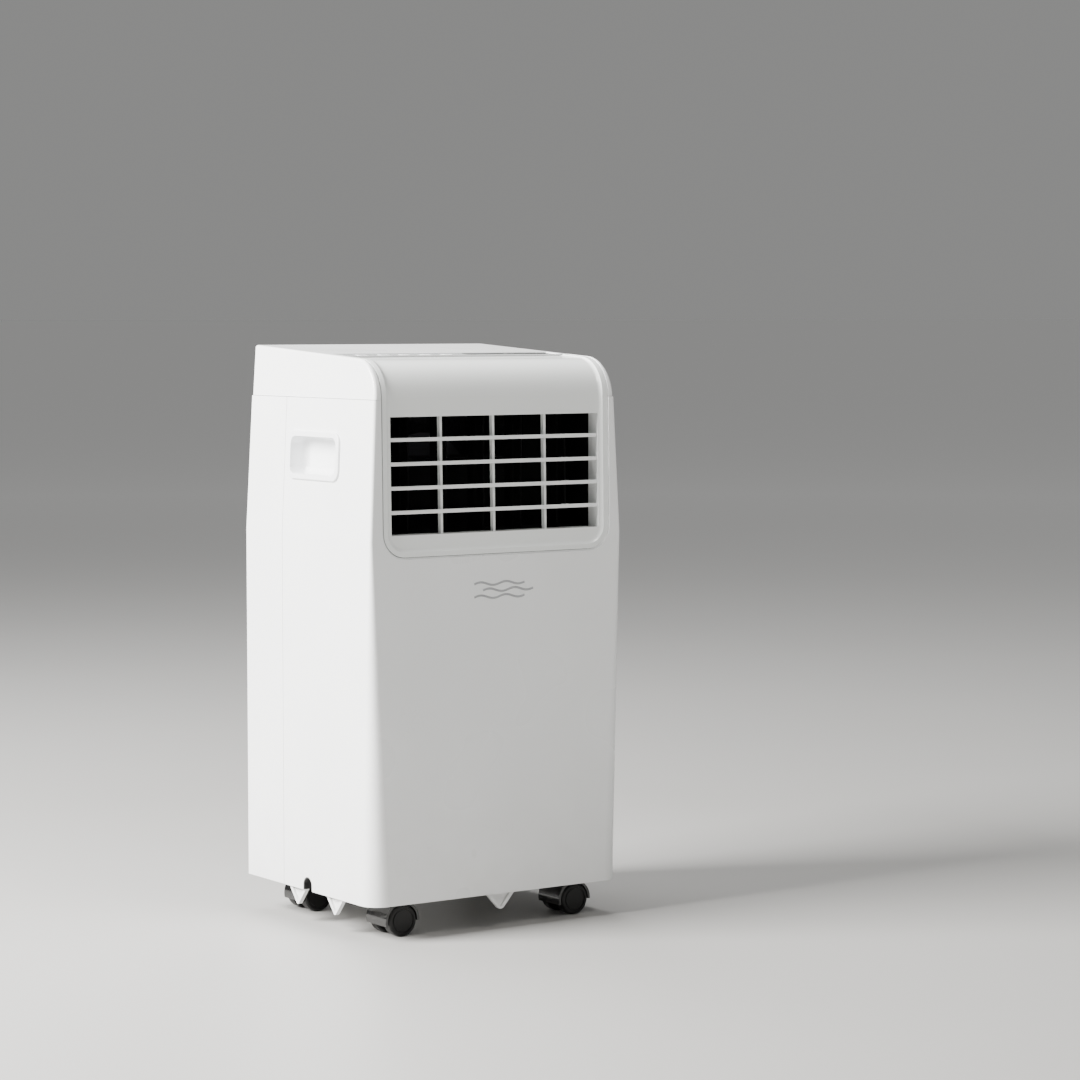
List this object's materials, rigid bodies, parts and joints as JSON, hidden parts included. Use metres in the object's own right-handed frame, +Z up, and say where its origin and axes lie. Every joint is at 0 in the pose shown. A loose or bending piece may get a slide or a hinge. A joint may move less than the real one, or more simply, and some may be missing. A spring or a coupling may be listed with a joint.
{
  "type": "portable air conditioner",
  "caption": "Upright portable air conditioner on swivel casters, with a front outlet of tilting louvres, side hand recesses, rear intake grilles and an exhaust collar.",
  "frame": {"origin": "on the floor under the middle of the casing", "axes": "+Z up, the outlet faces -Y, +X to the right seen from the front"},
  "size_m": [0.348, 0.286, 0.6788],
  "materials": {
    "casing_white": "glossy white moulded plastic with a soft sheen",
    "panel_white": "glossy white moulded plastic",
    "louvre_white": "satin white moulded plastic",
    "cup_white": "satin white moulded plastic",
    "duct_black": "matt black moulded plastic",
    "control_grey": "glossy pale grey plastic",
    "display_black": "smoked glossy window",
    "button_white": "soft satin plastic",
    "board_green": "printed circuit board",
    "tray_white": "satin white moulded plastic",
    "caster_black": "glossy black nylon",
    "wheel_black": "satin black nylon tread",
    "grille_white": "satin white moulded plastic",
    "mesh_grey": "fine woven nylon filter mesh",
    "plug_grey": "grey moulded cap",
    "rubber_black": "matt black rubber",
    "screw_steel": "zinc plated steel",
    "foam_grey": "dark moulded plastic",
    "rotor_grey": "moulded impeller plastic",
    "motor_steel": "pressed steel can",
    "coil_fins": "pressed aluminium fins",
    "compressor_black": "black painted steel shell",
    "copper": "drawn copper tube",
    "box_grey": "grey moulded box"
  },
  "bodies": {
    "casing": {"front_shell": "casing_white", "rear_shell": "casing_white", "top_cover": "casing_white", "outlet_panel": "panel_white", "handle_cup_left": "cup_white", "handle_cup_right": "cup_white", "air_duct": "duct_black", "control_panel": "control_grey", "display_window": "display_black", "control_board": "board_green", "base_tray": "tray_white", "lower_grille": "grille_white", "exhaust_collar": "grille_white", "lower_mesh": "mesh_grey", "drain_plug": "plug_grey", "cord_gland": "rubber_black", "compressor_mounts": "rubber_black", "screws": "screw_steel", "partition_tray": "foam_grey", "evaporator_scroll": "foam_grey", "condenser_scroll": "foam_grey", "evaporator_motor": "motor_steel", "condenser_motor": "motor_steel", "evaporator_coil": "coil_fins", "condenser_coil": "coil_fins", "compressor": "compressor_black", "refrigerant_pipes": "copper", "electric_box": "box_grey"},
    "louvre_1": {"louvre_blade_1": "louvre_white"},
    "louvre_2": {"louvre_blade_2": "louvre_white"},
    "louvre_3": {"louvre_blade_3": "louvre_white"},
    "louvre_4": {"louvre_blade_4": "louvre_white"},
    "louvre_bar": {"louvre_link": "duct_black"},
    "vane_1": {"vane_1": "duct_black"},
    "vane_2": {"vane_2": "duct_black"},
    "vane_3": {"vane_3": "duct_black"},
    "vane_4": {"vane_4": "duct_black"},
    "vane_5": {"vane_5": "duct_black"},
    "vane_bar": {"vane_link": "duct_black"},
    "evaporator_rotor": {"evaporator_wheel": "rotor_grey"},
    "condenser_rotor": {"condenser_wheel": "rotor_grey"},
    "filter_door": {"filter_panel": "grille_white", "filter_mesh": "mesh_grey"},
    "key_power": {"button_power": "button_white"},
    "key_mode": {"button_mode": "button_white"},
    "key_fan": {"button_fan": "button_white"},
    "key_down": {"button_down": "button_white"},
    "key_up": {"button_up": "button_white"},
    "caster_front_left": {"caster_fork_front_left": "caster_black"},
    "wheel_a_front_left": {"wheel_a_front_left": "wheel_black"},
    "wheel_b_front_left": {"wheel_b_front_left": "wheel_black"},
    "caster_front_right": {"caster_fork_front_right": "caster_black"},
    "wheel_a_front_right": {"wheel_a_front_right": "wheel_black"},
    "wheel_b_front_right": {"wheel_b_front_right": "wheel_black"},
    "caster_rear_left": {"caster_fork_rear_left": "caster_black"},
    "wheel_a_rear_left": {"wheel_a_rear_left": "wheel_black"},
    "wheel_b_rear_left": {"wheel_b_rear_left": "wheel_black"},
    "caster_rear_right": {"caster_fork_rear_right": "caster_black"},
    "wheel_a_rear_right": {"wheel_a_rear_right": "wheel_black"},
    "wheel_b_rear_right": {"wheel_b_rear_right": "wheel_black"}
  },
  "joints": [
    {"name": "louvre_tilt_1", "type": "hinge", "parent": "casing", "child": "louvre_1", "pos_m": [0, -0.13024, 0.49085], "axis": [1, 0, 0], "range_deg": [-30, 30]},
    {"name": "louvre_tilt_2", "type": "hinge", "parent": "casing", "child": "louvre_2", "pos_m": [0, -0.12973, 0.51835], "axis": [1, 0, 0], "range_deg": [-30, 30]},
    {"name": "louvre_tilt_3", "type": "hinge", "parent": "casing", "child": "louvre_3", "pos_m": [0, -0.12921, 0.54585], "axis": [1, 0, 0], "range_deg": [-30, 30]},
    {"name": "louvre_tilt_4", "type": "hinge", "parent": "casing", "child": "louvre_4", "pos_m": [0, -0.1287, 0.57335], "axis": [1, 0, 0], "range_deg": [-30, 30]},
    {"name": "louvre_bar_turn", "type": "hinge", "parent": "louvre_1", "child": "louvre_bar", "pos_m": [0.108, -0.12075, 0.49085], "axis": [1, 0, 0], "range_deg": [-30, 30]},
    {"name": "vane_turn_1", "type": "hinge", "parent": "casing", "child": "vane_1", "pos_m": [-0.104, -0.095, 0.5321], "axis": [0, 0, 1], "range_deg": [-35, 35]},
    {"name": "vane_turn_2", "type": "hinge", "parent": "casing", "child": "vane_2", "pos_m": [-0.052, -0.095, 0.5321], "axis": [0, 0, 1], "range_deg": [-35, 35]},
    {"name": "vane_turn_3", "type": "hinge", "parent": "casing", "child": "vane_3", "pos_m": [0, -0.095, 0.5321], "axis": [0, 0, 1], "range_deg": [-35, 35]},
    {"name": "vane_turn_4", "type": "hinge", "parent": "casing", "child": "vane_4", "pos_m": [0.052, -0.095, 0.5321], "axis": [0, 0, 1], "range_deg": [-35, 35]},
    {"name": "vane_turn_5", "type": "hinge", "parent": "casing", "child": "vane_5", "pos_m": [0.104, -0.095, 0.5321], "axis": [0, 0, 1], "range_deg": [-35, 35]},
    {"name": "vane_bar_turn", "type": "hinge", "parent": "vane_3", "child": "vane_bar", "pos_m": [0, -0.0766, 0.4869], "axis": [0, 0, 1], "range_deg": [-35, 35]},
    {"name": "evaporator_spin", "type": "hinge", "parent": "casing", "child": "evaporator_rotor", "pos_m": [0, 0.0205, 0.5085], "axis": [0, 1, 0], "continuous": true},
    {"name": "condenser_spin", "type": "hinge", "parent": "casing", "child": "condenser_rotor", "pos_m": [0.07, 0.0285, 0.195], "axis": [0, 1, 0], "continuous": true},
    {"name": "filter_door_tilt", "type": "hinge", "parent": "casing", "child": "filter_door", "pos_m": [0, 0.1406, 0.4402], "axis": [-1, 0, 0], "range_deg": [0, 35]},
    {"name": "press_power", "type": "slide", "parent": "casing", "child": "key_power", "axis": [0, 0.057, -0.9984], "range_m": [0, 0.001], "stiffness_N_per_m": 400, "springref_m": -0.002},
    {"name": "press_mode", "type": "slide", "parent": "casing", "child": "key_mode", "axis": [0, 0.057, -0.9984], "range_m": [0, 0.001], "stiffness_N_per_m": 400, "springref_m": -0.002},
    {"name": "press_fan", "type": "slide", "parent": "casing", "child": "key_fan", "axis": [0, 0.057, -0.9984], "range_m": [0, 0.001], "stiffness_N_per_m": 400, "springref_m": -0.002},
    {"name": "press_down", "type": "slide", "parent": "casing", "child": "key_down", "axis": [0, 0.057, -0.9984], "range_m": [0, 0.001], "stiffness_N_per_m": 400, "springref_m": -0.002},
    {"name": "press_up", "type": "slide", "parent": "casing", "child": "key_up", "axis": [0, 0.057, -0.9984], "range_m": [0, 0.001], "stiffness_N_per_m": 400, "springref_m": -0.002},
    {"name": "swivel_front_left", "type": "hinge", "parent": "casing", "child": "caster_front_left", "pos_m": [-0.121, -0.095, 0.048], "axis": [0, 0, 1], "continuous": true},
    {"name": "roll_a_front_left", "type": "hinge", "parent": "caster_front_left", "child": "wheel_a_front_left", "pos_m": [-0.116, -0.095, 0.0185], "axis": [0, 1, 0], "continuous": true},
    {"name": "roll_b_front_left", "type": "hinge", "parent": "caster_front_left", "child": "wheel_b_front_left", "pos_m": [-0.116, -0.095, 0.0185], "axis": [0, 1, 0], "continuous": true},
    {"name": "swivel_front_right", "type": "hinge", "parent": "casing", "child": "caster_front_right", "pos_m": [0.121, -0.095, 0.048], "axis": [0, 0, 1], "continuous": true},
    {"name": "roll_a_front_right", "type": "hinge", "parent": "caster_front_right", "child": "wheel_a_front_right", "pos_m": [0.126, -0.095, 0.0185], "axis": [0, 1, 0], "continuous": true},
    {"name": "roll_b_front_right", "type": "hinge", "parent": "caster_front_right", "child": "wheel_b_front_right", "pos_m": [0.126, -0.095, 0.0185], "axis": [0, 1, 0], "continuous": true},
    {"name": "swivel_rear_left", "type": "hinge", "parent": "casing", "child": "caster_rear_left", "pos_m": [-0.121, 0.095, 0.048], "axis": [0, 0, 1], "continuous": true},
    {"name": "roll_a_rear_left", "type": "hinge", "parent": "caster_rear_left", "child": "wheel_a_rear_left", "pos_m": [-0.116, 0.095, 0.0185], "axis": [0, 1, 0], "continuous": true},
    {"name": "roll_b_rear_left", "type": "hinge", "parent": "caster_rear_left", "child": "wheel_b_rear_left", "pos_m": [-0.116, 0.095, 0.0185], "axis": [0, 1, 0], "continuous": true},
    {"name": "swivel_rear_right", "type": "hinge", "parent": "casing", "child": "caster_rear_right", "pos_m": [0.121, 0.095, 0.048], "axis": [0, 0, 1], "continuous": true},
    {"name": "roll_a_rear_right", "type": "hinge", "parent": "caster_rear_right", "child": "wheel_a_rear_right", "pos_m": [0.126, 0.095, 0.0185], "axis": [0, 1, 0], "continuous": true},
    {"name": "roll_b_rear_right", "type": "hinge", "parent": "caster_rear_right", "child": "wheel_b_rear_right", "pos_m": [0.126, 0.095, 0.0185], "axis": [0, 1, 0], "continuous": true}
  ],
  "couplings": [
    {"joint": "louvre_tilt_2", "follows": "louvre_tilt_1", "ratio": 1},
    {"joint": "louvre_tilt_3", "follows": "louvre_tilt_1", "ratio": 1},
    {"joint": "louvre_tilt_4", "follows": "louvre_tilt_1", "ratio": 1},
    {"joint": "louvre_bar_turn", "follows": "louvre_tilt_1", "ratio": -1},
    {"joint": "vane_turn_1", "follows": "vane_turn_3", "ratio": 1},
    {"joint": "vane_turn_2", "follows": "vane_turn_3", "ratio": 1},
    {"joint": "vane_turn_4", "follows": "vane_turn_3", "ratio": 1},
    {"joint": "vane_turn_5", "follows": "vane_turn_3", "ratio": 1},
    {"joint": "vane_bar_turn", "follows": "vane_turn_3", "ratio": -1}
  ]
}
